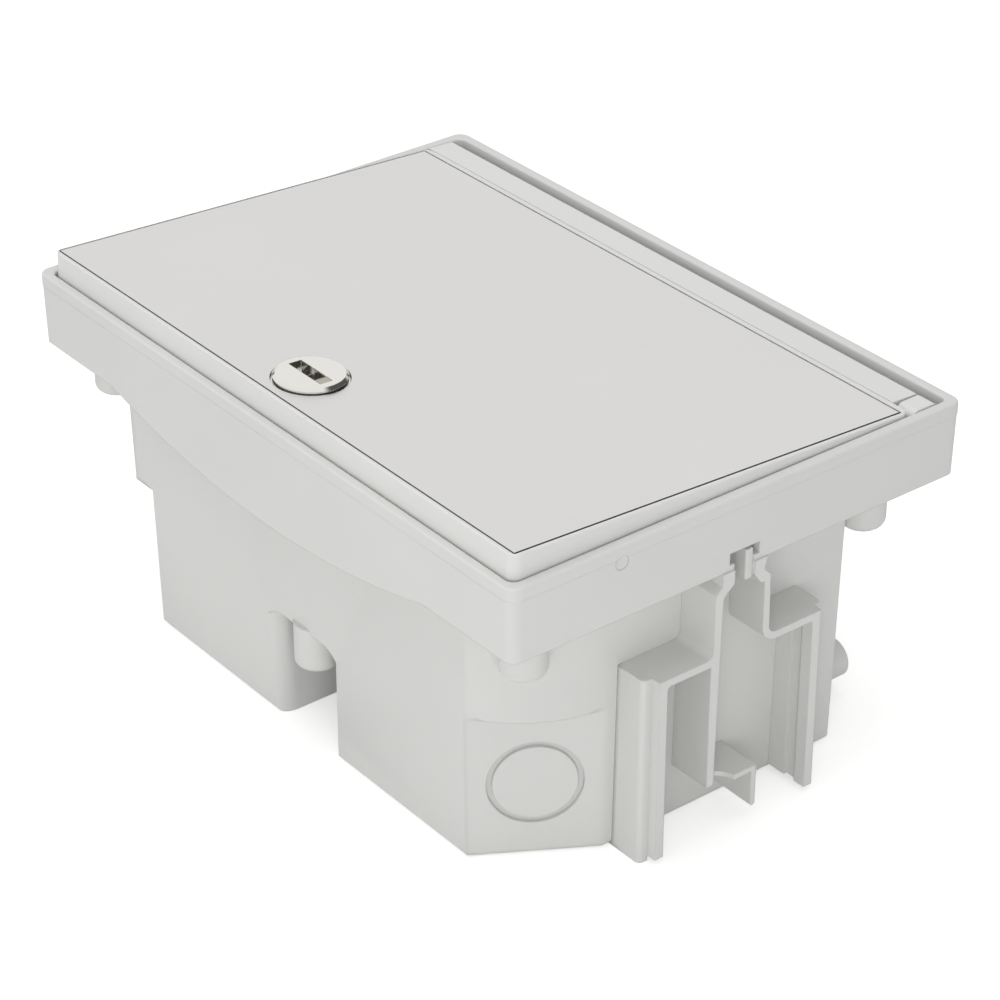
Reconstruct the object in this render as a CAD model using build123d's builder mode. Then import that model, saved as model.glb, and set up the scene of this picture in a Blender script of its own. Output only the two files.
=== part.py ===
from build123d import *
import math
import os

os.makedirs("parts", exist_ok=True)

# Floor socket box: a rim that ends flush with the floor, a tub below it and a hinged, lockable lid.
# X runs along the hinge, -Y is the lock side and +Z is up. The tub's floor stands on Z = 0.

# moulded box
rim_length = 186.0
rim_width = 131.0
rim_depth = 18.7
rim_corner = 3.2
rim_wall = 3.0  # at the ends
long_wall = 2.5  # at the front and back
rim_band = 3.2  # upright band at the top of the rim
rim_step = 0.12  # by which the band stands out
rim_draft = 1.2  # degrees
box_height = 89.5
rim_overhang_x = 11.1  # from the tub, at the underside of the rim
rim_overhang_y = 8.6
tub_wall = 2.5
tub_draft = 1.0  # degrees
ledge_depth = 12.0  # below the rim's top edge
step = 39.0  # height where the flat corners end and the bowed ones start
corner_run_x = 13.6
corner_run_y = 25.2
corner_bulge = 2.2
flat_run_x = 16.2  # front corner on the +X end, at the floor
flat_slope = 1.644  # its run along Y for each millimetre along X
back_run_x = 15.4  # back corner on the +X end
back_slope = 0.97
bay_shift = 2.2  # the two bays stand this far towards +X

# slot between the two bays
slot_width = 20.6
slot_top = 30.5
slot_flare = 5.2
slot_arch = 7.5

# front and back aprons under the rim
apron_inset = 31.0  # from the rim's end to the apron's
apron_drop = 8.2

# bosses, knock-outs and the lug on the back wall
boss_radius = 5.6
boss_left = 10.6  # from the rim's edges to the bosses
boss_right = 14.0
boss_front = 14.4
boss_back = 16.2
boss_drop = 14.3
boss_pilot = 2.0
base_boss_inset = 13.7
base_boss_bottom = 19.5
base_pilot = 1.7
pilot_depth = 9.0
knock_diameter = 22.3
knock_disc = 19.6
knock_depth = 1.0
knock_height = 20.1
lug_inset = 29.0
lug_height = 8.0
lug_radius = 5.0
lug_length = 2.6
gate_y = -35.5
gate_drop = 4.3
gate_radius = 1.75

# hinge
hinge_inset = 7.9  # from the rim's outer back face to the pin
hinge_drop = 3.6
barrel_radius = 3.9
pin_radius = 2.0
pin_fit = 0.06
pin_seat = 2.2  # blind bore in the rim's left wall
end_block_length = 5.3
end_block_front = 5.6
end_block_drop = 9.2
end_block_round = 2.5
end_gap = 0.6
leg_seat = 4.0
leg_length = 2.6
leg_width = 4.2
lid_tilt = 2.77  # degrees, the lid stands ajar

# lid
lid_gap = 0.4
lid_corner = 2.5
lid_border = 0.95
lid_border_left = 0.45
lid_skirt = 9.0
skirt_wall = 1.5
lid_base = 2.5
plate_thickness = 1.5
plate_gap = 0.5  # filled by the gasket
gasket_drop = 0.25
strip_front = 5.95  # from the pin to the back edge of the lid's tray
strip_thickness = 2.0
strip_border = 1.7
rib_wall = 1.2
rib_height = 3.5
rib_pitch_x = 36.0
rib_pitch_y = 28.0

# lock
lock_inset = 15.5  # from the rim's outer front face to the lock's axis
head_radius = 8.8
head_top = 8.1
head_rise = 1.3
key_length = 12.3
key_breadth = 3.5
key_depth = 3.2
flange_radius = 9.1
flange_thickness = 0.9
sleeve_radius = 8.0
sleeve_length = 9.7
stem_radius = 6.0
stem_length = 11.3
neck_radius = 4.0
nut_radius = 9.8
nut_height = 3.5
clip_radius = 7.3
clip_groove = 5.0
clip_thickness = 1.0
cam_drop = 14.1  # from the plate's seat to the cam
cam_reach = 8.8
cam_half = 3.5
cam_hub = 4.2
cam_thickness = 2.0
cam_square = 5.0
screw_radius = 1.6
cam_screw_length = 7.0

# keeper, the pocket behind it and the seal
keeper_half = 17.0
keeper_front = 6.0  # from the rim's outer front face
keeper_width = 5.1
keeper_thickness = 1.6
keeper_notch = 5.8
keeper_screw_x = 14.4
pocket_half = 12.0
pocket_depth = 4.8
seal_width = 2.4
seal_squeeze = 0.3

# sockets
wiring_room = 9.7  # from the tub's floor to the bases
tray_thickness = 2.2
tray_clear = 1.0
outlet_pitch = 91.0
outlet_cut = 45.6
outlet_face = 54.0
outlet_flange = 2.6
well_radius = 19.7
well_wall = 1.2
well_depth = 17.5
well_floor = 2.0
pin_pitch = 19.0
pin_hole = 2.75
base_length = 45.2
base_width = 44.0
base_depth = 14.8
cheek_wall = 1.5
cheek_half = 9.0
ear_reach = 3.0
tube_radius = 4.0
tube_bore = 2.5
tube_plug = 3.0
earth_half = 3.0
earth_radius = 18.5
earth_strip = 0.8
earth_rise = 13.0
post_radius = 4.0
post_inset = 29.5  # from the rim's edges to the posts
corner_post_inset_x = 22.5
corner_post_inset_y = 33.0
head_height = 1.5
head_width = 2.6

# end brackets, which take the levelling feet
bracket_rib = 2.0
rib_neck = 3.5  # from the rim's underside to where the ribs leave the notch
rib_bend = 6.2  # and to where they turn down again
rib_lip = 3.2  # and on the ribs' outer side
rib_splay = 0.95  # by which the left rib leans out on its way to the hook
rib_lean = 0.3
rail_wall = 2.4
rail_end = 1.5
shelf_top = 49.7
rail_outer = 24.0
bead_outer = 26.5
bead_set_back = 2.7
rail_groove = 6.8  # from the rail's front edge to its groove
groove_depth = 0.9  # depth of the groove
hook_top = 14.9
hook_half = 6.1
hook_left = 7.2
hook_sheet = 1.4
hook_cut = 6.0
notch_half = 4.35
notch_mouth = 2.95
notch_lip = 1.5
notch_top = 4.5  # above the rim's underside
notch_deep = 8.5
clip_face = 1.0  # from the rim's end face to the clip
clip_width = 1.95
clip_low = 4.6  # below the rim's underside
clip_length = 7.8

seat = 0.2
fit = 0.05
up = (Align.CENTER, Align.CENTER, Align.MIN)  # a shape that stands on its place
down = (Align.CENTER, Align.CENTER, Align.MAX)  # a shape that hangs from its place

# levels and half sizes that follow
rim_x = rim_length / 2
rim_y = rim_width / 2
rim_under = box_height - rim_depth
ledge = box_height - ledge_depth
inner_x = rim_x - rim_wall
inner_y = rim_y - long_wall
seal_x = inner_x - seat
seal_y = inner_y - seat
rim_in = (rim_depth - rim_band) * math.tan(math.radians(rim_draft)) + rim_step
hinge_y = rim_y - hinge_inset
hinge_z = box_height - hinge_drop
pin_bore = pin_radius + pin_fit
lock_v = lock_inset - rim_y - hinge_y
keeper_seat = ledge - 2 * keeper_thickness
keeper_y = keeper_front - rim_y
base_low = tub_wall + wiring_room
base_top = base_low + base_depth
face_top = base_top + well_floor + well_depth
tray_top = face_top - outlet_flange
tray_low = tray_top - tray_thickness
apron_half = rim_x - apron_inset
shelf_under = shelf_top - bracket_rib


def drawn_in(height):
    return height * math.tan(math.radians(tub_draft))


step_x = rim_x - rim_overhang_x - drawn_in(rim_under - step)
step_y = rim_y - rim_overhang_y - drawn_in(rim_under - step)
floor_x = step_x - drawn_in(step)
floor_y = step_y - drawn_in(step)
bay_extra = 2 * bay_shift  # the front run at the -X end is longer by this

boss_columns = (boss_left - rim_x, rim_x - boss_right)
boss_rows = (boss_front - rim_y, rim_y - boss_back)
corner_spots = [(x, y) for x in boss_columns for y in boss_rows]
slot_spots = [(bay_shift, y * (rim_y - base_boss_inset)) for y in (-1, 1)]
post_spots = [(bay_shift, y * (rim_y - post_inset)) for y in (-1, 1)]
corner_post_x = rim_x - corner_post_inset_x
corner_post_y = rim_y - corner_post_inset_y
corner_post_spots = [
    (bay_shift + x * corner_post_x, y * corner_post_y) for x in (-1, 1) for y in (-1, 1)
]
keeper_spots = [(x * keeper_screw_x, keeper_y + keeper_width / 2) for x in (-1, 1)]
outlet_spots = [(bay_shift + side * outlet_pitch / 2, 0) for side in (-1, 1)]

# the lid's plane turns about the pin; its Z is the lid's own up
tilt = math.radians(lid_tilt)
lid_plane = Plane(
    origin=(0, hinge_y, hinge_z), x_dir=(1, 0, 0), z_dir=(0, math.sin(tilt), math.cos(tilt))
)
lid_side = Plane(
    origin=(0, hinge_y, hinge_z), x_dir=(0, math.cos(tilt), -math.sin(tilt)), z_dir=(1, 0, 0)
)
lid_x = inner_x - lid_gap
lid_front = -(hinge_y + inner_y - lid_gap)
lid_top = hinge_drop
plate_low = lid_top - plate_thickness
base_under = plate_low - lid_base
skirt_end = lid_top - lid_skirt
tray_middle = (lid_front - strip_front) / 2
tray_reach = -strip_front - lid_front
recess_front = lid_front + lid_border
recess_back = -strip_front - strip_border
recess_middle = (recess_front + recess_back) / 2
recess_reach = recess_back - recess_front
recess_length = 2 * lid_x - lid_border - lid_border_left
recess_x = (lid_border_left - lid_border) / 2
recess_round = 0.4
barrel_end = inner_x - seat - end_block_length - end_gap

# planes of the two flat corners at the front, centred where the conduit enters
knock_planes = []
for end, run in ((1, flat_run_x), (-1, flat_run_x + bay_extra)):
    out = Vector(end * flat_slope, -1, 0).normalized()
    lean = Vector(0, 0, math.tan(math.radians(tub_draft)))
    middle = Vector(end * (floor_x - run / 2), run * flat_slope / 2 - floor_y, knock_height)
    entry = middle + out * drawn_in(knock_height)
    knock_planes.append(Plane(entry, x_dir=(-out.Y, out.X, 0), z_dir=out - lean))

# tub outline above the step: bowed corners at the front; the back ones go straight on up
grown_run = back_run_x + drawn_in(step) * (1 - (math.hypot(1, back_slope) - 1) / back_slope)
with BuildSketch(Plane.XY.offset(step)) as bowed_outline:
    with BuildLine():
        side = Line((0, -step_y), (step_x - corner_run_x, -step_y))
        bow = SagittaArc(side @ 1, (step_x, corner_run_y - step_y), corner_bulge)
        Polyline(
            bow @ 1,
            (step_x, step_y - grown_run * back_slope),
            (step_x - grown_run, step_y),
            (0, step_y),
        )
        mirror(about=Plane.YZ)
    make_face()

# tub outline at the floor: flat corners
with BuildSketch() as flat_outline:
    with BuildLine():
        Polyline(
            (floor_x, flat_run_x * flat_slope - floor_y),
            (floor_x, floor_y - back_run_x * back_slope),
            (floor_x - back_run_x, floor_y),
            (back_run_x - floor_x, floor_y),
            (-floor_x, floor_y - back_run_x * back_slope),
            (-floor_x, (flat_run_x + bay_extra) * flat_slope - floor_y),
            (flat_run_x + bay_extra - floor_x, -floor_y),
            (floor_x - flat_run_x, -floor_y),
            close=True,
        )
    make_face()

# the slot's own solid: straight sides that flare at both mouths, under an arched ceiling
with BuildPart() as slot_space:
    with BuildSketch():
        with Locations((bay_shift, 0)):
            Rectangle(slot_width + 2 * slot_flare, 2 * rim_width)
        for side in (-1, 1):
            with Locations((bay_shift + side * (slot_width / 2 + slot_flare), 0)):
                RectangleRounded(2 * slot_flare, 2 * step_y, slot_flare - 0.01, mode=Mode.SUBTRACT)
    extrude(amount=slot_top)
    with BuildSketch(Plane.XZ):
        with Locations((bay_shift, slot_top / 2)):
            arch = Rectangle(slot_width + 2 * slot_flare, slot_top)
        fillet(arch.vertices().group_by(Axis.Y)[-1], slot_arch)
    extrude(amount=rim_width, both=True, mode=Mode.INTERSECT)

# everything that is hollow: the lid's recess, the cavity and the two bays
with BuildPart() as cavity:
    with BuildSketch(Plane.XY.offset(tub_wall)):
        offset(flat_outline.sketch_local, amount=-tub_wall, kind=Kind.INTERSECTION)
    extrude(amount=step, taper=-tub_draft)
    with Locations((bay_shift, 0, 0)):
        Box(
            slot_width + 2 * tub_wall,
            2 * rim_width,
            slot_top + tub_wall,
            align=up,
            mode=Mode.SUBTRACT,
        )
    with BuildSketch(Plane.XY.offset(step + tub_wall)):
        offset(bowed_outline.sketch_local, amount=-tub_wall, kind=Kind.INTERSECTION)
    extrude(amount=ledge - step - tub_wall, taper=-tub_draft)
    with BuildSketch(Plane.XY.offset(ledge)):
        RectangleRounded(2 * inner_x, 2 * inner_y, rim_corner - 1.2)
    extrude(amount=ledge_depth)

with BuildPart() as corner_boss:
    Cylinder(boss_radius, boss_drop + 0.5, align=up)
    fillet(corner_boss.edges().group_by(Axis.Z)[0], 2.4)

with BuildPart() as slot_boss:
    Cylinder(boss_radius, slot_top + 1.0 - base_boss_bottom, align=up)
    fillet(slot_boss.edges().group_by(Axis.Z)[0], 1.8)

with BuildPart() as box_body:
    # tub: flat corners below the step, bowed corners above it
    extrude(flat_outline.sketch, amount=step, taper=-tub_draft)
    fillet(box_body.edges().group_by(Axis.Z)[0], 1.8)
    extrude(bowed_outline.sketch, amount=rim_under - step, taper=-tub_draft)
    # rim: drafted block below an upright band
    with BuildSketch(Plane.XY.offset(rim_under)):
        RectangleRounded(rim_length - 2 * rim_in, rim_width - 2 * rim_in, rim_corner - rim_in)
    extrude(amount=rim_depth - rim_band, taper=-rim_draft)
    with BuildSketch(Plane.XY.offset(box_height - rim_band)):
        RectangleRounded(rim_length, rim_width, rim_corner)
    extrude(amount=rim_band)
    # aprons with an arched lower edge join the rim to the long walls
    for side in (-1, 1):
        with BuildSketch(Plane.XZ.offset(side * (rim_y - rim_in))):
            with BuildLine():
                arc = ThreePointArc(
                    (-apron_half, rim_under), (0, rim_under - apron_drop), (apron_half, rim_under)
                )
                Line(arc @ 1, arc @ 0)
            make_face()
        extrude(amount=-side * (rim_y - rim_in - step_y + 2.0))
    # screw bosses under the rim's corners, and the round lug low on the back wall
    with Locations(*[(x, y, rim_under - boss_drop) for x, y in corner_spots]):
        add(corner_boss.part)
    with BuildSketch(Plane.XZ.offset(-(floor_y + lug_length))):
        with Locations((rim_x - lug_inset, lug_height)):
            Circle(lug_radius)
    extrude(amount=lug_length + 3 * tub_wall)
    # hollow and slot, with a screw boss in the slot at each long wall
    add(cavity.part, mode=Mode.SUBTRACT)
    add(slot_space.part, mode=Mode.SUBTRACT)
    with Locations(*[(x, y, base_boss_bottom) for x, y in slot_spots]):
        add(slot_boss.part)
        Cylinder(base_pilot, 2 * pilot_depth, mode=Mode.SUBTRACT)
    with Locations(*[(x, y, rim_under - boss_drop) for x, y in corner_spots]):
        Cylinder(boss_pilot, 2 * pilot_depth, mode=Mode.SUBTRACT)
    top_face = box_body.faces().sort_by(Axis.Z)[-1]
    fillet(top_face.outer_wire().edges() + top_face.inner_wires()[0].edges(), 0.6)
    # conduit knock-outs: a groove around a disc on each flat corner
    for knock in knock_planes:
        with BuildSketch(knock):
            Circle(knock_diameter / 2)
            Circle(knock_disc / 2, mode=Mode.SUBTRACT)
        extrude(amount=-knock_depth, mode=Mode.SUBTRACT)
    # posts over the slot and in the corners carry the socket tray
    with Locations(*[(x, y, slot_top + 1.0) for x, y in post_spots]):
        Cylinder(
            post_radius, tray_low - slot_top - 1.0, align=up
        )
    with Locations(*[(x, y, tub_wall / 2) for x, y in corner_post_spots]):
        Cylinder(post_radius, tray_low - tub_wall / 2, align=up)
    with Locations(*[(x, y, tray_low) for x, y in post_spots + corner_post_spots]):
        Cylinder(screw_radius - seat, 2 * pilot_depth, mode=Mode.SUBTRACT)
    # seat for the keeper, open to the cavity, and the pocket that the cam turns into
    with Locations((0, keeper_y - seat, keeper_seat)):
        Box(
            2 * (keeper_half + seat),
            keeper_width + 2 * seat + 1.0,
            ledge_depth,
            align=(Align.CENTER, Align.MIN, Align.MIN),
            mode=Mode.SUBTRACT,
        )
    with Locations((0, keeper_y - 4 * seat, keeper_seat)):
        Box(
            2 * pocket_half,
            keeper_width + 6 * seat + 1.0,
            pocket_depth,
            align=(Align.CENTER, Align.MIN, Align.MAX),
            mode=Mode.SUBTRACT,
        )
    with Locations(*[(x, y, keeper_seat) for x, y in keeper_spots]):
        Cylinder(screw_radius - seat, pilot_depth, mode=Mode.SUBTRACT)
    # blind bore for the hinge pin in the left wall, and the socket that takes the end block's leg
    with BuildSketch(Plane.YZ.offset(-inner_x - pin_seat)):
        with Locations((hinge_y, hinge_z)):
            Circle(pin_bore)
    extrude(amount=2 * pin_seat, mode=Mode.SUBTRACT)
    with Locations((barrel_end + end_gap + leg_length / 2, hinge_y, ledge)):
        Box(leg_length + 2 * fit, leg_width + 2 * fit, 2 * leg_seat, mode=Mode.SUBTRACT)
    # notches in the rim for the levelling clips, and the mark of the mould's gate
    for end in (-1, 1):
        with Locations((end * rim_x, 0, rim_under)):
            Box(2 * notch_deep, 2 * notch_mouth, 2 * notch_top, mode=Mode.SUBTRACT)
        with Locations((end * rim_x, 0, rim_under + notch_lip)):
            Box(
                2 * notch_deep,
                2 * notch_half,
                notch_top - notch_lip,
                align=up,
                mode=Mode.SUBTRACT,
            )
    with BuildSketch(Plane.YZ.offset(rim_x - rim_step - 0.2)):
        with Locations((gate_y, box_height - gate_drop)):
            Circle(gate_radius)
    extrude(amount=1.0, mode=Mode.SUBTRACT)

# ribs, shelves and rails on an end wall, drawn in (y, height) from the rim's underside down
with BuildPart() as bracket_form:
    with BuildSketch(Plane.YZ.offset(step_x - 2 * tub_wall)):
        with BuildLine():
            Polyline(
                (-notch_mouth, rim_under),
                (-notch_mouth, rim_under - rib_neck),
                (-hook_half, rim_under - rib_bend),
                (-hook_half - rib_splay, hook_top),
                (-hook_half - rib_splay - bracket_rib, hook_top),
                (-hook_half - rib_splay - bracket_rib, shelf_under),
                (rail_wall - rail_outer, shelf_under),
                (rail_wall - rail_outer, rail_end),
                (-rail_outer, rail_end),
                (-rail_outer, shelf_top),
                (-hook_half - rib_lean - bracket_rib, shelf_top),
                (-hook_half - rib_lean - bracket_rib, rim_under - rib_lip - 1.5),
                (-hook_half - rib_lean, rim_under - rib_lip),
                (-hook_half - rib_lean, rim_under),
                close=True,
            )
        make_face()
        with BuildLine():
            Polyline(
                (notch_mouth, rim_under),
                (notch_mouth, rim_under - rib_neck),
                (hook_half - 1.3, rim_under - rib_bend),
                (hook_half, rim_under - rib_bend - rib_lean),
                (hook_half, shelf_under),
                (rail_outer - rail_wall, shelf_under),
                (rail_outer - rail_wall, rail_end),
                (rail_outer, rail_end),
                (rail_outer, shelf_top),
                (hook_half + bracket_rib, shelf_top),
                (hook_half + bracket_rib - rib_lean, rim_under - rib_lip - 1.8),
                (hook_half - rib_lean, rim_under - rib_lip),
                (hook_half + 2 * rib_lean, rim_under),
                close=True,
            )
        make_face()
        for y, z, bend in (
            (hook_half, shelf_under, 4.2),
            (hook_half + bracket_rib, shelf_top, 2.2),
            (rail_outer - rail_wall, shelf_under, 0.9),
            (-hook_half - rib_lean - bracket_rib, shelf_top, 2.0),
            (rail_wall - rail_outer, shelf_under, 0.9),
            (-hook_half, rim_under - rib_bend, 2.5),
            (notch_mouth, rim_under - rib_neck, 1.2),
        ):
            fillet(vertices().sort_by_distance((y, z, 0))[0], bend)
    extrude(amount=rim_x - step_x + 2 * tub_wall)
    # a groove runs down the inner side of each rail, and a lower bead down its outer side
    for side in (-1, 1):
        with Locations((rim_x - rail_groove, side * (rail_outer - rail_wall), 0)):
            Box(
                rail_groove / 2,
                2 * groove_depth,
                shelf_under,
                align=(Align.MIN, Align.CENTER, Align.MIN),
                mode=Mode.SUBTRACT,
            )
    for side in (-1, 1):
        with Locations((step_x - 2 * tub_wall, side * (rail_outer + bead_outer) / 2, 0)):
            Box(
                rim_x - bead_set_back - step_x + 2 * tub_wall,
                bead_outer - rail_outer,
                shelf_top,
                align=(Align.MIN, Align.CENTER, Align.MIN),
            )
    beads = bracket_form.edges().filter_by(Axis.Z).filter_by_position(
        Axis.X, rim_x - bead_set_back - 0.1, rim_x - bead_set_back + 0.1
    )
    fillet(beads.filter_by(lambda edge: abs(edge.center().Y) > bead_outer - 0.1), 1.2)
    # hook at the bottom, where the levelling foot is hung
    with BuildSketch(Plane.XY.offset(hook_top - hook_sheet)):
        with Locations((step_x - 2 * tub_wall, -hook_left)):
            Rectangle(
                rim_x - step_x + 2 * tub_wall, hook_left + hook_half, align=(Align.MIN, Align.MIN)
            )
        with Locations((rim_x + 1.0, -hook_half - 0.5)):
            Circle(hook_cut, mode=Mode.SUBTRACT)
    extrude(amount=hook_sheet)
    with BuildSketch(Plane.YZ.offset(step_x - 2 * tub_wall)):
        with Locations((hook_half - hook_sheet / 2, hook_top - 4 * hook_sheet)):
            SlotOverall(8 * hook_sheet, hook_sheet, rotation=90)
    extrude(amount=rim_x - step_x + 2 * tub_wall)

with BuildPart() as end_bracket_right:
    add(bracket_form.part)
    add(box_body.part, mode=Mode.SUBTRACT)
    add(cavity.part, mode=Mode.SUBTRACT)

with BuildPart() as end_bracket_left:
    mirror(bracket_form.part, about=Plane.YZ)
    add(box_body.part, mode=Mode.SUBTRACT)
    add(cavity.part, mode=Mode.SUBTRACT)

# the levelling clips stand in the notches
with BuildPart() as bracket_clip_right:
    with Locations((rim_x - clip_face, notch_mouth, rim_under - clip_low)):
        Box(notch_deep - 2.0, clip_width, clip_length, align=(Align.MAX, Align.MAX, Align.MIN))
    front_edges = bracket_clip_right.edges().filter_by(Axis.Z).sort_by(Axis.X)[-2:]
    fillet(front_edges.sort_by(Axis.Y)[0], 0.4)

with BuildPart() as bracket_clip_left:
    mirror(bracket_clip_right.part, about=Plane.YZ)

# lid: a moulded tray that holds the plate, with a skirt, ribs and the hinge barrel
with BuildPart(lid_plane) as lid_frame:
    with BuildSketch(lid_plane.offset(skirt_end)):
        with Locations((0, tray_middle)):
            outer = Rectangle(2 * lid_x, tray_reach)
        fillet(outer.vertices(), lid_corner)
    extrude(amount=lid_skirt)
    fillet(lid_frame.faces().sort_by(Axis.Z)[-1].outer_wire().edges(), 0.35)
    with BuildSketch(lid_plane.offset(skirt_end)):
        with Locations((0, tray_middle)):
            inner = Rectangle(2 * (lid_x - skirt_wall), tray_reach - 2 * skirt_wall)
        fillet(inner.vertices(), lid_corner - skirt_wall)
    extrude(amount=base_under - skirt_end, mode=Mode.SUBTRACT)
    with BuildSketch(lid_plane.offset(plate_low)):
        with Locations((recess_x, recess_middle)):
            recess = Rectangle(recess_length, recess_reach)
        fillet(recess.vertices(), recess_round)
    extrude(amount=plate_thickness + 1.0, mode=Mode.SUBTRACT)
    # stiffening ribs, clear of the lock
    with BuildSketch(lid_plane.offset(base_under - rib_height)):
        with Locations((0, tray_middle)):
            with GridLocations(rib_pitch_x, 1, 4, 1):
                Rectangle(rib_wall, tray_reach - skirt_wall)
            with GridLocations(1, rib_pitch_y, 1, 3):
                Rectangle(2 * lid_x - skirt_wall, rib_wall)
    extrude(amount=rib_height)
    # hinge strip and barrel, cut flat at the lid's top
    with BuildSketch(lid_side.offset(-lid_x)):
        Circle(barrel_radius)
        with Locations((-strip_front, lid_top - strip_thickness)):
            Rectangle(strip_front + skirt_wall, strip_thickness, align=(Align.MIN, Align.MIN))
        with Locations((-strip_front, lid_top)):
            Rectangle(
                strip_front + barrel_radius,
                barrel_radius,
                align=(Align.MIN, Align.MIN),
                mode=Mode.SUBTRACT,
            )
        Circle(pin_bore, mode=Mode.SUBTRACT)
    extrude(amount=lid_x + barrel_end)
    with Locations((0, lock_v, plate_low)):
        Cylinder(sleeve_radius + fit, 4 * lid_base, mode=Mode.SUBTRACT)

with BuildPart() as lid_plate:
    with BuildSketch(lid_plane.offset(plate_low)):
        with Locations((recess_x, recess_middle)):
            Rectangle(recess_length - 2 * plate_gap, recess_reach - 2 * plate_gap)
        with Locations((0, lock_v)):
            Circle(flange_radius + seat, mode=Mode.SUBTRACT)
    extrude(amount=plate_thickness)
    fillet(lid_plate.faces().sort_by(Axis.Z)[-1].outer_wire().edges(), 0.2)

# black gasket in the gap around the plate
with BuildPart() as plate_gasket:
    with BuildSketch(lid_plane.offset(plate_low)):
        with Locations((recess_x, recess_middle)):
            around = Rectangle(recess_length, recess_reach)
            fillet(around.vertices(), recess_round)
            Rectangle(recess_length - 2 * plate_gap, recess_reach - 2 * plate_gap, mode=Mode.SUBTRACT)
    extrude(amount=plate_thickness - gasket_drop)

# lock: housing and nut in the lid; barrel, clip, cam and screw turn together
with BuildPart(lid_plane) as lock_housing:
    with Locations((0, lock_v, plate_low)):
        Cylinder(flange_radius, flange_thickness, align=up)
        Cylinder(sleeve_radius, sleeve_length, align=down)
        Cylinder(stem_radius + pin_fit, 4 * sleeve_length, mode=Mode.SUBTRACT)

with BuildPart(lid_plane) as lock_nut:
    with BuildSketch(lid_plane.offset(base_under - nut_height)):
        with Locations((0, lock_v)):
            RegularPolygon(nut_radius, 6, major_radius=False)
            Circle(sleeve_radius + fit, mode=Mode.SUBTRACT)
    extrude(amount=nut_height)

head_seat = plate_low + flange_thickness + fit
cam_top = plate_low - cam_drop
stem_end = plate_low - stem_length
clip_top = plate_low - sleeve_length - fit

with BuildPart(lid_plane) as lock_barrel:
    with Locations((0, lock_v, head_seat)):
        Cylinder(head_radius, lid_top + head_rise - head_seat, align=up)
    chamfer(
        lock_barrel.edges().filter_by(GeomType.CIRCLE).sort_by(Axis.Z)[-1], head_radius - head_top
    )
    with Locations((0, lock_v, head_seat)):
        Cylinder(stem_radius, head_seat - stem_end, align=down)
    with Locations((0, lock_v, stem_end)):
        Cylinder(neck_radius, stem_end - cam_top, align=down)
    with Locations((0, lock_v, cam_top)):
        Box(cam_square, cam_square, cam_thickness, align=down)
    with BuildSketch(lid_plane.offset(clip_top - clip_thickness - fit)):
        with Locations((0, lock_v)):
            Circle(stem_radius + 1.0)
            Circle(clip_groove, mode=Mode.SUBTRACT)
    extrude(amount=clip_thickness + 2 * fit, mode=Mode.SUBTRACT)
    with BuildSketch(lid_plane.offset(lid_top + head_rise)):
        with Locations((0, lock_v)):
            Rectangle(key_length, key_breadth)
    extrude(amount=-key_depth, mode=Mode.SUBTRACT)
    with Locations((0, lock_v, cam_top - cam_thickness)):
        Cylinder(screw_radius + fit, 2 * (cam_screw_length + 1.0), mode=Mode.SUBTRACT)

with BuildPart() as lock_clip:
    with BuildSketch(lid_plane.offset(clip_top - clip_thickness)):
        with Locations((0, lock_v)):
            Circle(clip_radius)
            Circle(clip_groove + fit, mode=Mode.SUBTRACT)
        with Locations((0, lock_v - clip_groove)):
            Rectangle(1.6 * clip_groove, 2 * clip_groove, mode=Mode.SUBTRACT)
    extrude(amount=clip_thickness)

with BuildPart() as lock_cam:
    with BuildSketch(lid_plane.offset(cam_top - cam_thickness)):
        with Locations((0, lock_v)):
            Circle(cam_hub)
            Rectangle(cam_reach - cam_half, 2 * cam_half, align=(Align.MIN, Align.CENTER))
            with Locations((cam_reach - cam_half, 0)):
                Circle(cam_half)
            Rectangle(cam_square + 2 * fit, cam_square + 2 * fit, mode=Mode.SUBTRACT)
    extrude(amount=cam_thickness)

with BuildPart(lid_plane) as cam_screw:
    with Locations((0, lock_v, cam_top - cam_thickness)):
        Cylinder(2 * screw_radius + 0.4, head_height + 0.5, align=down)
        Cylinder(screw_radius, cam_screw_length, align=up)

# hinge pin, and the block that carries its right end
with BuildPart() as hinge_pin:
    with BuildSketch(Plane.YZ.offset(-inner_x - pin_seat)):
        with Locations((hinge_y, hinge_z)):
            Circle(pin_radius)
    extrude(amount=2 * inner_x + pin_seat - seat - 1.3)

with BuildPart() as hinge_end_block:
    with BuildSketch(Plane.YZ.offset(barrel_end + end_gap)):
        with Locations((hinge_y, hinge_z)):
            Circle(barrel_radius)
        with Locations((hinge_y - end_block_front, box_height)):
            Rectangle(end_block_front, end_block_drop, align=(Align.MIN, Align.MAX))
        with Locations((hinge_y - end_block_front, box_height)):
            Rectangle(
                end_block_front + barrel_radius,
                barrel_radius,
                align=(Align.MIN, Align.MIN),
                mode=Mode.SUBTRACT,
            )
        fillet(
            [corner for corner in vertices() if corner.X < hinge_y - 1.0 and corner.Y > hinge_z],
            end_block_round,
        )
        with Locations((hinge_y, hinge_z)):
            Circle(pin_bore, mode=Mode.SUBTRACT)
    extrude(amount=end_block_length)
    with Locations((barrel_end + end_gap + leg_length / 2, hinge_y, ledge - leg_seat)):
        Box(
            leg_length,
            leg_width,
            ledge_depth + leg_seat - end_block_drop + 0.5,
            align=up,
        )

# seal on the ledge, and the keeper that the cam turns under
with BuildPart() as lid_seal:
    with BuildSketch(Plane.XY.offset(ledge)):
        RectangleRounded(2 * seal_x, 2 * seal_y, rim_corner - 1.2)
        Rectangle(2 * (seal_x - seal_width), 2 * (seal_y - seal_width), mode=Mode.SUBTRACT)
    extrude(amount=ledge_depth - lid_skirt - seal_squeeze)

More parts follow.
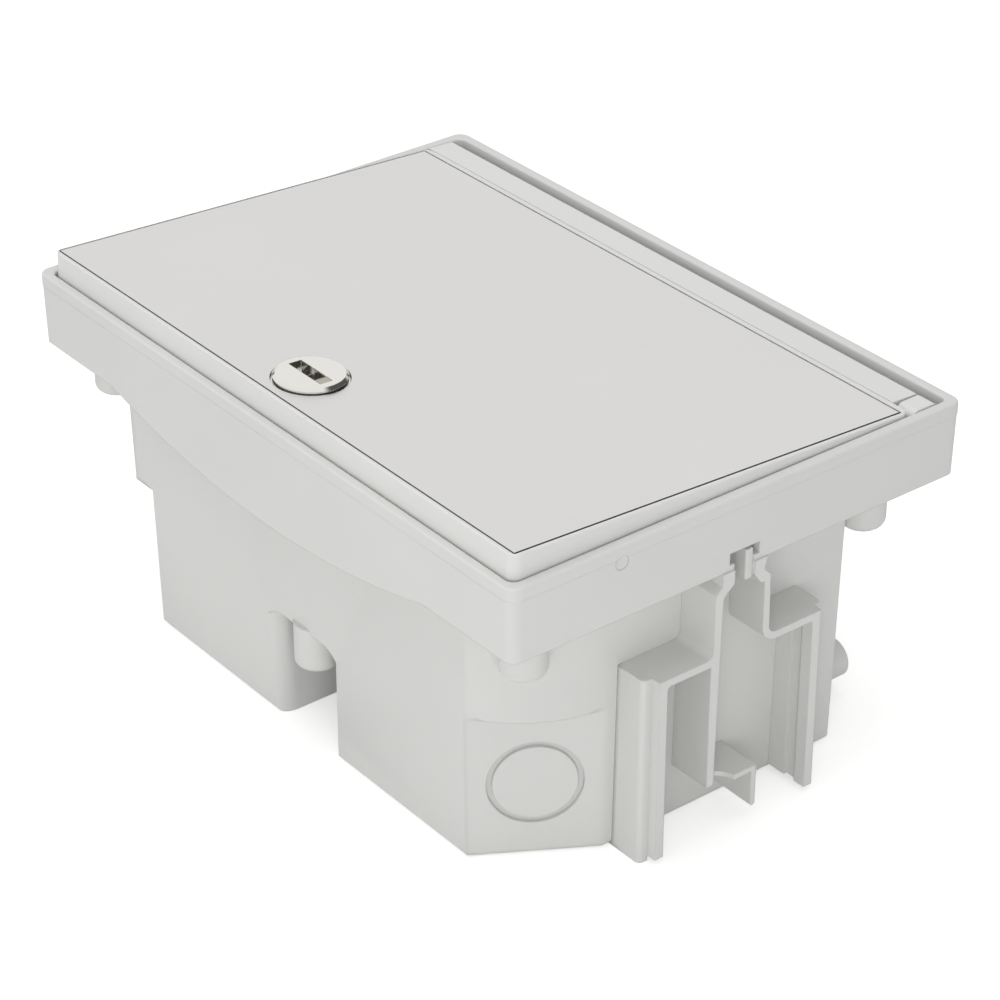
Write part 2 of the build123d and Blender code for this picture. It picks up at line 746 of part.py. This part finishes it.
with BuildPart() as strike_plate:
    with BuildSketch(Plane.XY.offset(keeper_seat)):
        with Locations((0, keeper_y)):
            Rectangle(2 * keeper_half, keeper_width, align=(Align.CENTER, Align.MIN))
        with Locations((0, lock_inset - rim_y)):
            Circle(keeper_notch, mode=Mode.SUBTRACT)
        with Locations(*keeper_spots):
            Circle(screw_radius + fit, mode=Mode.SUBTRACT)
    extrude(amount=keeper_thickness)

with BuildPart() as strike_screws:
    with Locations(*[(x, y, keeper_seat + keeper_thickness) for x, y in keeper_spots]):
        Cylinder(head_width - 0.3, head_height - 0.5, align=up)
        Cylinder(
            screw_radius - seat - fit,
            keeper_thickness + pilot_depth / 2 - seat,
            align=down,
        )

# tray with a square cut-out for each socket
with BuildPart() as outlet_tray:
    with BuildSketch(Plane.XY.offset(tray_low)):
        offset(bowed_outline.sketch_local, amount=-tub_wall - tray_clear, kind=Kind.INTERSECTION)
        with Locations(*outlet_spots):
            Rectangle(outlet_cut, outlet_cut, mode=Mode.SUBTRACT)
        with Locations(*(post_spots + corner_post_spots)):
            Circle(screw_radius + fit, mode=Mode.SUBTRACT)
    extrude(amount=tray_thickness)

with BuildPart() as tray_screws:
    with Locations(*[(x, y, tray_top) for x, y in post_spots + corner_post_spots]):
        Cylinder(head_width, head_height, align=up)
        Cylinder(
            screw_radius - seat - fit,
            tray_thickness + pilot_depth - 1.0,
            align=down,
        )

# left socket: cover with a round well, base, a pair of contacts and the earth clip
outlet_x = outlet_spots[0][0]
earth_low = base_top - cheek_wall - earth_strip
earth_middle = earth_radius + earth_strip / 2


def pin_spots(height):
    return [(outlet_x + side * pin_pitch / 2, 0, height) for side in (-1, 1)]


with BuildPart() as outlet_cover_left:
    with BuildSketch(Plane.XY.offset(tray_top)):
        with Locations((outlet_x, 0)):
            RectangleRounded(outlet_face, outlet_face, 3.0)
    extrude(amount=outlet_flange)
    fillet(outlet_cover_left.faces().sort_by(Axis.Z)[-1].edges(), 0.8)
    with Locations((outlet_x, 0, face_top - well_depth - well_floor)):
        Cylinder(
            well_radius + well_wall,
            well_depth + well_floor - outlet_flange,
            align=up,
        )
    with Locations((outlet_x, 0, face_top - well_depth)):
        Cylinder(well_radius, 2 * well_depth, align=up, mode=Mode.SUBTRACT)
    with Locations(*pin_spots(base_top)):
        Cylinder(pin_hole, 4 * well_floor, mode=Mode.SUBTRACT)
    with Locations(*[(outlet_x, side * earth_middle, base_top) for side in (-1, 1)]):
        Box(2 * earth_half + 4 * seat, earth_strip + 2 * seat, 4 * well_floor, mode=Mode.SUBTRACT)
    with Locations((outlet_x, 0, base_top)):
        Cylinder(screw_radius + fit, 4 * well_floor, mode=Mode.SUBTRACT)

with BuildPart() as outlet_base_left:
    with Locations((outlet_x, 0, base_low)):
        Box(base_length, base_width, base_depth, align=up)
    fillet(outlet_base_left.edges().filter_by(Axis.Z), 2.0)
    for side in (-1, 1):
        with Locations((outlet_x + side * (base_length / 2 - cheek_wall / 2), 0, base_top)):
            Box(cheek_wall, 2 * cheek_half, tray_low - base_top, align=up)
        with Locations((outlet_x + side * (base_length + ear_reach - cheek_wall) / 2, 0, tray_low)):
            Box(
                ear_reach + cheek_wall, 2 * cheek_half, cheek_wall, align=down
            )
    with Locations(*pin_spots(base_top)):
        Cylinder(tube_radius + seat, base_depth - cheek_wall, align=down, mode=Mode.SUBTRACT)
        Cylinder(screw_radius, 3 * base_depth, mode=Mode.SUBTRACT)
    with Locations((outlet_x, 0, base_top)):
        Box(
            2 * (earth_half + seat),
            2 * (earth_radius + earth_strip + seat),
            2 * cheek_wall + 2 * earth_strip,
            mode=Mode.SUBTRACT,
        )
        Cylinder(screw_radius, base_depth, mode=Mode.SUBTRACT)
    with Locations((outlet_x, earth_radius / 2, base_top)):
        Cylinder(screw_radius, 3 * base_depth, mode=Mode.SUBTRACT)

with BuildPart() as outlet_contacts_left:
    with Locations(*pin_spots(base_low + cheek_wall)):
        Cylinder(
            tube_radius, base_depth - cheek_wall - seat, align=up
        )
    with Locations(*pin_spots(base_low + cheek_wall + tube_plug)):
        Cylinder(
            tube_bore, base_depth, align=up, mode=Mode.SUBTRACT
        )
    with Locations(*pin_spots(base_low + cheek_wall)):
        Cylinder(screw_radius - fit, 2 * tube_plug - 1.0, mode=Mode.SUBTRACT)

with BuildPart() as outlet_earth_clip_left:
    with BuildSketch(Plane.XY.offset(earth_low)):
        with Locations((outlet_x, 0)):
            Rectangle(2 * earth_half, 2 * (earth_radius + earth_strip))
            Circle(screw_radius + 2 * seat, mode=Mode.SUBTRACT)
        with Locations((outlet_x, earth_radius / 2)):
            Circle(screw_radius - fit, mode=Mode.SUBTRACT)
    extrude(amount=earth_strip)
    for side in (-1, 1):
        with Locations((outlet_x, side * earth_middle, earth_low)):
            Box(
                2 * earth_half,
                earth_strip,
                base_top - earth_low + earth_rise,
                align=up,
            )

# the right socket repeats the left one
with BuildPart() as outlet_cover_right:
    with Locations((outlet_pitch, 0, 0)):
        add(outlet_cover_left.part)

with BuildPart() as outlet_base_right:
    with Locations((outlet_pitch, 0, 0)):
        add(outlet_base_left.part)

with BuildPart() as outlet_contacts_right:
    with Locations((outlet_pitch, 0, 0)):
        add(outlet_contacts_left.part)

with BuildPart() as outlet_earth_clip_right:
    with Locations((outlet_pitch, 0, 0)):
        add(outlet_earth_clip_left.part)

# one screw holds each cover to its base; three below take the wires
with BuildPart() as cover_screws:
    with Locations(*[(x, y, face_top - well_depth) for x, y in outlet_spots]):
        Cylinder(head_width, head_height, align=up)
        Cylinder(
            screw_radius - fit, well_floor + base_depth / 2 - seat, align=down
        )

with BuildPart() as terminal_screws:
    for x, y in outlet_spots:
        with Locations(*[(x + side * pin_pitch / 2, 0, base_low) for side in (-1, 1)]):
            Cylinder(head_width, head_height, align=down)
            Cylinder(
                screw_radius - 2 * fit, cheek_wall + tube_plug - 1.0, align=up
            )
        with Locations((x, earth_radius / 2, base_low)):
            Cylinder(head_width, head_height, align=down)
            Cylinder(
                screw_radius - 2 * fit,
                earth_low + earth_strip - base_low,
                align=up,
            )

pieces = {
    "box_body": box_body,
    "end_bracket_left": end_bracket_left,
    "end_bracket_right": end_bracket_right,
    "bracket_clip_left": bracket_clip_left,
    "bracket_clip_right": bracket_clip_right,
    "lid_frame": lid_frame,
    "lid_plate": lid_plate,
    "plate_gasket": plate_gasket,
    "lid_seal": lid_seal,
    "hinge_pin": hinge_pin,
    "hinge_end_block": hinge_end_block,
    "lock_housing": lock_housing,
    "lock_nut": lock_nut,
    "lock_barrel": lock_barrel,
    "lock_clip": lock_clip,
    "lock_cam": lock_cam,
    "cam_screw": cam_screw,
    "strike_plate": strike_plate,
    "strike_screws": strike_screws,
    "outlet_tray": outlet_tray,
    "tray_screws": tray_screws,
    "outlet_cover_left": outlet_cover_left,
    "outlet_cover_right": outlet_cover_right,
    "outlet_base_left": outlet_base_left,
    "outlet_base_right": outlet_base_right,
    "outlet_contacts_left": outlet_contacts_left,
    "outlet_contacts_right": outlet_contacts_right,
    "outlet_earth_clip_left": outlet_earth_clip_left,
    "outlet_earth_clip_right": outlet_earth_clip_right,
    "cover_screws": cover_screws,
    "terminal_screws": terminal_screws,
}
for node, piece in pieces.items():
    piece.part.label = node
    export_step(piece.part, f"parts/{node}.step")
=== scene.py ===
import math
import bmesh
import bpy
import numpy as np
from mathutils import Euler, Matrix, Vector


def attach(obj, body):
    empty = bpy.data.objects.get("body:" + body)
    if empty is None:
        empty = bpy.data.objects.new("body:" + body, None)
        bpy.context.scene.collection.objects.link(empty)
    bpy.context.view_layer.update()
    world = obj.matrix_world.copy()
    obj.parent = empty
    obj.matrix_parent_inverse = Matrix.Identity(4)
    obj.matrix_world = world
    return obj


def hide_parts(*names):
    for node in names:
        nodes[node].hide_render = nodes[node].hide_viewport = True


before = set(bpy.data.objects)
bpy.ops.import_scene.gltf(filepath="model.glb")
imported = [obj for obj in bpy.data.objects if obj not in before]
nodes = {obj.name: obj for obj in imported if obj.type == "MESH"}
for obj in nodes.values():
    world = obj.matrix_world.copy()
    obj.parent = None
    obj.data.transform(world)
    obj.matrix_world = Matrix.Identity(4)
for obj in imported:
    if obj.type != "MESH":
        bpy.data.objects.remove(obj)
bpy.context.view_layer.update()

mm = 0.001
print("stage 1: frame loaded,", len(nodes), "nodes")

# camera and studio

cameraValues = {
    "place": (538.24, -419.75, 452.81),  # mm
    "azimuth": 51.73,  # degrees, 0 looks along +Y
    "elevation": 30.93,
    "lens": 118.3,  # mm, as is the sensor
    "sensor": 36.0,
    "nearest": 10,  # mm, the span of depth that it sees
    "farthest": 20000,
}


def makeCamera(values):
    data = bpy.data.cameras.new("studioCamera")
    data.lens = values["lens"]
    data.sensor_width = values["sensor"]
    data.sensor_fit = "HORIZONTAL"
    data.clip_start = values["nearest"] * mm
    data.clip_end = values["farthest"] * mm
    camera = bpy.data.objects.new("studioCamera", data)
    bpy.context.scene.collection.objects.link(camera)
    camera.location = [v * mm for v in values["place"]]
    tip = math.radians(90 - values["elevation"])
    camera.rotation_euler = Euler((tip, 0.0, math.radians(values["azimuth"])))
    bpy.context.scene.camera = camera


makeCamera(cameraValues)

lampValues = {  # place and size in mm, power in W
    "lampTop": {"place": (-100, -150, 1100), "size": 900, "power": 4.4},
    "lampFront": {"place": (-450, -950, 230), "size": 460, "power": 0.9},
    "lampCorner": {"place": (780, -600, 300), "size": 500, "power": 2.7},
}
lampAim = (0, 0, 45)  # mm, the middle of the box


def makeLamp(name, values):
    data = bpy.data.lights.new(name, "AREA")
    data.shape = "SQUARE"
    data.size = values["size"] * mm
    data.energy = values["power"]
    lamp = bpy.data.objects.new(name, data)
    lamp.visible_glossy = False  # metal shows the white studio, not the lamps
    bpy.context.scene.collection.objects.link(lamp)
    place = Vector(values["place"]) * mm
    lamp.location = place
    lamp.rotation_euler = (place - Vector(lampAim) * mm).to_track_quat("Z", "Y").to_euler()


for lampName, lampValue in lampValues.items():
    makeLamp(lampName, lampValue)


def linear(code):  # sRGB hex to linear colour
    parts = [int(code[i:i + 2], 16) / 255 for i in (1, 3, 5)]
    return [p / 12.92 if p <= 0.04045 else ((p + 0.055) / 1.055) ** 2.4 for p in parts] + [1.0]


def addNode(tree, kind, values=None, links=None, **settings):
    node = tree.nodes.new("ShaderNode" + kind)
    for key, value in settings.items():
        setattr(node, key, value)
    for key, value in (values or {}).items():
        node.inputs[key].default_value = value
    for key, source in (links or {}).items():
        tree.links.new(source, node.inputs[key])
    return node


worldValues = {
    "strength": 0.53,  # light on the object
    "unlit": (0.45, 0.8, 0.3),  # towards the side of the studio without a lamp, as polished metal shows it
    "unlitFrom": 0.66,  # cosine of the angle at which that side starts
    "unlitTo": 0.86,
    "horizon": 0.16,  # sine of the height up to which the walls stay dim
    "dim": 0.1,
}


def makeWorld(values):
    world = bpy.data.worlds.new("studioWorld")
    bpy.context.scene.world = world
    world.use_nodes = True
    tree = world.node_tree
    tree.nodes.clear()
    # the camera, glass and metal see a white studio, and the rest is lit at the plain strength
    path = addNode(tree, "LightPath")
    glossy = path.outputs["Is Glossy Ray"]
    seen = addNode(tree, "Math", links={0: path.outputs["Is Camera Ray"], 1: path.outputs["Is Transmission Ray"]},
                   operation="MAXIMUM")
    white = addNode(tree, "Math", links={0: seen.outputs[0], 1: glossy}, operation="MAXIMUM")
    level = addNode(tree, "MapRange", {"To Min": values["strength"], "To Max": 1.0}, {"Value": white.outputs[0]})
    # polished metal also shows the dim walls at the horizon and the unlit side
    way = addNode(tree, "TexCoord")
    side = addNode(tree, "VectorMath", {1: Vector(values["unlit"]).normalized()}, {0: way.outputs["Generated"]},
                   operation="DOT_PRODUCT")
    unlit = addNode(tree, "MapRange", {"From Min": values["unlitFrom"], "From Max": values["unlitTo"],
                                       "To Min": 1.0, "To Max": values["dim"]}, {"Value": side.outputs["Value"]},
                    interpolation_type="SMOOTHSTEP")
    up = addNode(tree, "SeparateXYZ", links={0: way.outputs["Generated"]})
    wall = addNode(tree, "MapRange", {"From Min": 0.0, "From Max": values["horizon"], "To Min": values["dim"],
                                      "To Max": 1.0}, {"Value": up.outputs["Z"]}, interpolation_type="SMOOTHSTEP")
    dark = addNode(tree, "Math", links={0: unlit.outputs[0], 1: wall.outputs[0]}, operation="MULTIPLY")
    shade = addNode(tree, "Mix", {"A": 1.0}, {"Factor": glossy, "B": dark.outputs[0]}, data_type="FLOAT")
    power = addNode(tree, "Math", links={0: level.outputs[0], 1: shade.outputs[0]}, operation="MULTIPLY")
    light = addNode(tree, "Background", {"Color": (1, 1, 1, 1)}, {"Strength": power.outputs[0]})
    addNode(tree, "OutputWorld", links={"Surface": light.outputs[0]})


makeWorld(worldValues)

floorValues = {
    "size": 6000,  # mm
    "paper": "#F2F2F1",
    "glow": 0.45,  # added for the camera alone, so that the paper shows white around the shadow
}


def makeFloor(values):
    half = values["size"] * mm / 2
    mesh = bpy.data.meshes.new("studioFloor")
    mesh.from_pydata([(-half, -half, 0), (half, -half, 0), (half, half, 0), (-half, half, 0)], [], [(0, 1, 2, 3)])
    floor = bpy.data.objects.new("studioFloor", mesh)
    bpy.context.scene.collection.objects.link(floor)
    material = bpy.data.materials.new("whitePaper")
    material.use_nodes = True
    tree = material.node_tree
    tree.nodes.clear()
    path = addNode(tree, "LightPath")
    paper = addNode(tree, "BsdfDiffuse", {"Color": linear(values["paper"])})
    glow = addNode(tree, "Math", {1: values["glow"]}, {0: path.outputs["Is Camera Ray"]}, operation="MULTIPLY")
    lit = addNode(tree, "Emission", {"Color": (1, 1, 1, 1)}, {"Strength": glow.outputs[0]})
    both = addNode(tree, "AddShader", links={0: paper.outputs[0], 1: lit.outputs[0]})
    addNode(tree, "OutputMaterial", links={"Surface": both.outputs[0]})
    mesh.materials.append(material)


makeFloor(floorValues)
bpy.context.scene.view_settings.view_transform = "Standard"
print("stage 2: studio")

# materials

# grain, bump and edge radius in mm, and so are the soft values; the real grain of 0.02 to 0.05 mm would not show
# in the render, so it is drawn coarser
finishes = {
    "mouldedPolycarbonate": {  # PC, moulded: pale grey, even, soft sheen from a fine spark-eroded skin
        "colour": "#D8D8D6", "roughness": 0.42, "grain": 0.35, "bump": 0.012, "edge": 0.45, "metallic": 0.0,
        "softEdges": ((64.8, -56.2), (81.2, -29.3)), "softEdge": 2.6, "softReach": (2.6, 4.6),
    },
    "lidPolycarbonate": {  # the same resin in a polished tool: a shade brighter and smoother
        "colour": "#E0E0DE", "roughness": 0.34, "grain": 0.5, "bump": 0.006, "edge": 0.3, "metallic": 0.0,
    },
    "satinStainless": {  # 1.4301 sheet, fine ground along its length: light grey, wide soft reflections
        "colour": "#DDDCDB", "roughness": 0.36, "grain": 0.25, "bump": 0.003, "edge": 0.12, "metallic": 1.0,
        "stretch": 30.0,  # length of a grinding mark over its width
    },
    "chromedZinc": {  # die-cast zinc, polished and chromed: mirror with crisp dark and bright crescents
        "colour": "#E4E2DD", "roughness": 0.06, "grain": 1.5, "bump": 0.0, "edge": 0.2, "metallic": 1.0,
    },
    "zincPlatedSteel": {  # pressed and turned steel, bright zinc: bluish grey, slightly cloudy
        "colour": "#B4B8BE", "roughness": 0.3, "grain": 1.2, "bump": 0.004, "edge": 0.15, "metallic": 1.0,
    },
    "nitrileRubber": {  # extruded black rubber: deep and matt
        "colour": "#0E0E0F", "roughness": 0.7, "grain": 0.4, "bump": 0.01, "edge": 0.15, "metallic": 0.0,
    },
    "blackPolyamide": {  # moulded socket insert: near black with a soft sheen
        "colour": "#252526", "roughness": 0.4, "grain": 0.4, "bump": 0.01, "edge": 0.35, "metallic": 0.0,
    },
    "drawnBrass": {  # drawn tube and strip: yellow, lightly scratched
        "colour": "#C9A255", "roughness": 0.28, "grain": 0.8, "bump": 0.004, "edge": 0.15, "metallic": 1.0,
    },
}
unevenness = {  # what every finish shares
    "cloud": 35,  # mm, size of its faint clouds
    "darker": 0.97,  # colour at their darkest and at their brightest
    "brighter": 1.02,
    "roughness": 0.03,  # either way
    "bumpStrength": 0.6,
    "edgeSamples": 6,
}


def softRadius(tree, place, values):
    # the edge radius grows to softEdge around the upright edges of the front corners, on both sides
    parts = addNode(tree, "SeparateXYZ", links={0: place.outputs["Object"]})
    side = addNode(tree, "Math", links={0: parts.outputs["X"]}, operation="ABSOLUTE")
    plan = addNode(tree, "CombineXYZ", links={"X": side.outputs[0], "Y": parts.outputs["Y"]})
    away = []
    for x, y in values["softEdges"]:
        away.append(addNode(tree, "VectorMath", {1: (x * mm, y * mm, 0)}, {0: plan.outputs[0]}, operation="DISTANCE"))
    least = addNode(tree, "Math", links={0: away[0].outputs["Value"], 1: away[1].outputs["Value"]},
                    operation="MINIMUM")
    near, far = values["softReach"]
    radius = addNode(tree, "MapRange", {"From Min": near * mm, "From Max": far * mm, "To Min": values["softEdge"] * mm,
                                        "To Max": values["edge"] * mm}, {"Value": least.outputs[0]})
    return radius.outputs[0]


def makeFinish(name, values, uneven):
    material = bpy.data.materials.new(name)
    material.use_nodes = True
    tree = material.node_tree
    tree.nodes.clear()
    place = addNode(tree, "TexCoord")
    turned = addNode(tree, "Mapping", {"Scale": (1 / values.get("stretch", 1.0), 1, 1)},
                     {"Vector": place.outputs["Object"]})
    grain = addNode(tree, "TexNoise", {"Scale": 1 / (values["grain"] * mm), "Detail": 2.0},
                    {"Vector": turned.outputs[0]})
    cloud = addNode(tree, "TexNoise", {"Scale": 1 / (uneven["cloud"] * mm), "Detail": 3.0},
                    {"Vector": place.outputs["Object"]})
    base = linear(values["colour"])[:3]
    low = [c * uneven["darker"] for c in base] + [1.0]
    high = [min(1.0, c * uneven["brighter"]) for c in base] + [1.0]
    colour = addNode(tree, "Mix", {"A": low, "B": high}, {"Factor": cloud.outputs["Fac"]}, data_type="RGBA")
    rough = addNode(tree, "MapRange", {"To Min": values["roughness"] - uneven["roughness"],
                                       "To Max": values["roughness"] + uneven["roughness"]},
                    {"Value": grain.outputs["Fac"]})
    shader = addNode(tree, "BsdfPrincipled", {"Metallic": values["metallic"]},
                     {"Base Color": colour.outputs["Result"], "Roughness": rough.outputs[0]})
    # the small radius of every real edge
    edge = addNode(tree, "Bevel", {"Radius": values["edge"] * mm}, samples=uneven["edgeSamples"])
    if "softEdges" in values:
        tree.links.new(softRadius(tree, place, values), edge.inputs["Radius"])
    normal = edge.outputs[0]
    if values["bump"]:
        bump = addNode(tree, "Bump", {"Strength": uneven["bumpStrength"], "Distance": values["bump"] * mm},
                       {"Height": grain.outputs["Fac"], "Normal": normal})
        normal = bump.outputs[0]
    tree.links.new(normal, shader.inputs["Normal"])
    addNode(tree, "OutputMaterial", links={"Surface": shader.outputs[0]})
    return material


materials = {name: makeFinish(name, values, unevenness) for name, values in finishes.items()}
print("stage 3: materials")

# tub, a copy of the solid whose front corners swell outwards above the step

tubValues = {  # mm, in plan at the step, for the corner on the +X side
    "step": 39.0,
    "rimUnderside": 70.8,
    "frontEnd": (67.75, -56.35),  # ends of the solid's corner, which bends inwards
    "sideEnd": (81.35, -31.15),
    "sunk": 2.2,
    "draft": 1.0,  # degrees
    "near": 0.15,  # how closely a point lies on the face
    "past": 0.375,  # how far past its ends a point still belongs to the face
    "endBand": 0.3,  # width of the band that counts as its end
    "ledgeMiddle": -1.0,  # the flat ledge at the step, from the corner's chord outwards
    "ledgeHalf": 2.2,
    "ledgePast": 4.0,
    "merge": 0.002,
    "smooth": 28.0,  # degrees, a larger turn stays an edge
}
swells = {  # mm, by side: how far each end slides along its wall, and the outward bulge
    1: {"frontSlide": -2.9, "sideSlide": 1.9, "bulge": 3.6},
    -1: {"frontSlide": 0.0, "sideSlide": 0.0, "bulge": 2.2},
}


def swellCorner(soup, side, values, swell):
    # points on the corner's face move out by 4 t (1 - t) times the bulge, t running from 0 to 1 between its ends,
    # and the ends slide along their walls; the face's lower edge is closed towards the flat corner
    flip = np.array([side, 1.0, 1.0])
    points = soup * flip  # three corners for each triangle
    near = values["near"]
    front, far = np.array(values["frontEnd"]), np.array(values["sideEnd"])
    length = np.linalg.norm(far - front)
    along = (far - front) / length
    out = np.array([along[1], -along[0]])
    run = (points[..., :2] - front) @ along
    stand = (points[..., :2] - front) @ out
    rise = points[..., 2] - values["step"]
    t = np.clip(run / length, 0.0, 1.0)
    bow = 4 * t * (1 - t)

    # points of the bent face, and the ledge that it leaves
    face = rise * math.tan(math.radians(values["draft"])) - values["sunk"] * bow
    top = values["rimUnderside"] - values["step"]
    on = (np.abs(stand - face) < near) & (rise > -near) & (rise < top + near)
    on &= (run > -values["past"]) & (run < length + values["past"])
    end = (run < values["endBand"]) | (run > length - values["endBand"])
    above = rise.min(axis=1, keepdims=True) > -near
    moved = on & (end | above)
    close = np.abs(stand - values["ledgeMiddle"]) < values["ledgeHalf"]
    close &= (run > -values["ledgePast"]) & (run < length + values["ledgePast"])
    ledge = (np.abs(rise).max(axis=1) < near) & close.all(axis=1)
    lower = (np.abs(rise) < near) & moved & ~ledge[:, None]

    frontSlide, sideSlide = np.array([swell["frontSlide"], 0.0]), np.array([0.0, swell["sideSlide"]])
    shift = (1 - t)[..., None] * frontSlide + t[..., None] * sideSlide
    shift = shift + ((values["sunk"] + swell["bulge"]) * bow)[..., None] * out
    points[..., :2] += np.where(moved[..., None], shift, 0.0)

    # new underside between the lower edge and the straight line of the flat corner
    edge = points[lower][np.argsort(run[lower])]
    edge = edge[np.append(True, np.diff(np.sort(run[lower])) > near)]
    chord = (edge[-1] - edge[0]) / np.linalg.norm(edge[-1] - edge[0])
    foot = edge[0] + ((edge - edge[0]) @ chord)[:, None] * chord
    under = np.stack([edge[:-1], foot[:-1], foot[1:], edge[:-1], foot[1:], edge[1:]], axis=1).reshape(-1, 3, 3)
    print("corner", side, "moved", int(moved.sum()), "points, edge of", len(edge))
    return np.concatenate([points[~ledge], under[1:-1]]) * flip


def makeTub(node, values):
    mesh = node.data
    place = np.empty(len(mesh.vertices) * 3)
    mesh.vertices.foreach_get("co", place)
    corners = np.empty(len(mesh.loops), dtype=np.int64)
    mesh.loops.foreach_get("vertex_index", corners)
    soup = place.reshape(-1, 3)[corners].reshape(-1, 3, 3) / mm
    for side, swell in swells.items():
        soup = swellCorner(soup, side, values, swell)
    shown = bpy.data.meshes.new("tubShown")
    shown.from_pydata((soup.reshape(-1, 3) * mm).tolist(), [], np.arange(len(soup) * 3).reshape(-1, 3).tolist())
    work = bmesh.new()
    work.from_mesh(shown)
    bmesh.ops.remove_doubles(work, verts=work.verts, dist=values["merge"] * mm)
    bmesh.ops.dissolve_degenerate(work, edges=work.edges, dist=values["merge"] * mm)
    work.to_mesh(shown)
    work.free()
    shown.shade_smooth()
    shown.set_sharp_from_angle(angle=math.radians(values["smooth"]))
    shown.materials.append(materials["mouldedPolycarbonate"])
    tub = bpy.data.objects.new("tubShown", shown)
    bpy.context.scene.collection.objects.link(tub)
    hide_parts("box_body")
    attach(tub, "box")


makeTub(nodes["box_body"], tubValues)
print("stage 4: tub")

wearing = {
    "mouldedPolycarbonate": ["box_body", "end_bracket_left", "end_bracket_right", "bracket_clip_left",
                             "bracket_clip_right", "outlet_tray"],
    "lidPolycarbonate": ["lid_frame", "hinge_end_block"],
    "satinStainless": ["lid_plate"],
    "chromedZinc": ["lock_housing", "lock_barrel"],
    "zincPlatedSteel": ["hinge_pin", "lock_nut", "lock_clip", "lock_cam", "cam_screw", "strike_plate",
                        "strike_screws", "tray_screws", "cover_screws", "terminal_screws"],
    # plate_gasket is a black ring filling the narrow gap around the plate; it draws the dark line along the plate's
    # edge
    "nitrileRubber": ["lid_seal", "plate_gasket"],
    "blackPolyamide": ["outlet_cover_left", "outlet_cover_right", "outlet_base_left", "outlet_base_right"],
    "drawnBrass": ["outlet_contacts_left", "outlet_contacts_right", "outlet_earth_clip_left",
                   "outlet_earth_clip_right"],
}
for finish, wearers in wearing.items():
    for wearer in wearers:
        mesh = nodes[wearer].data
        mesh.materials.clear()
        mesh.materials.append(materials[finish])
print("stage 5: finishes on the pieces")
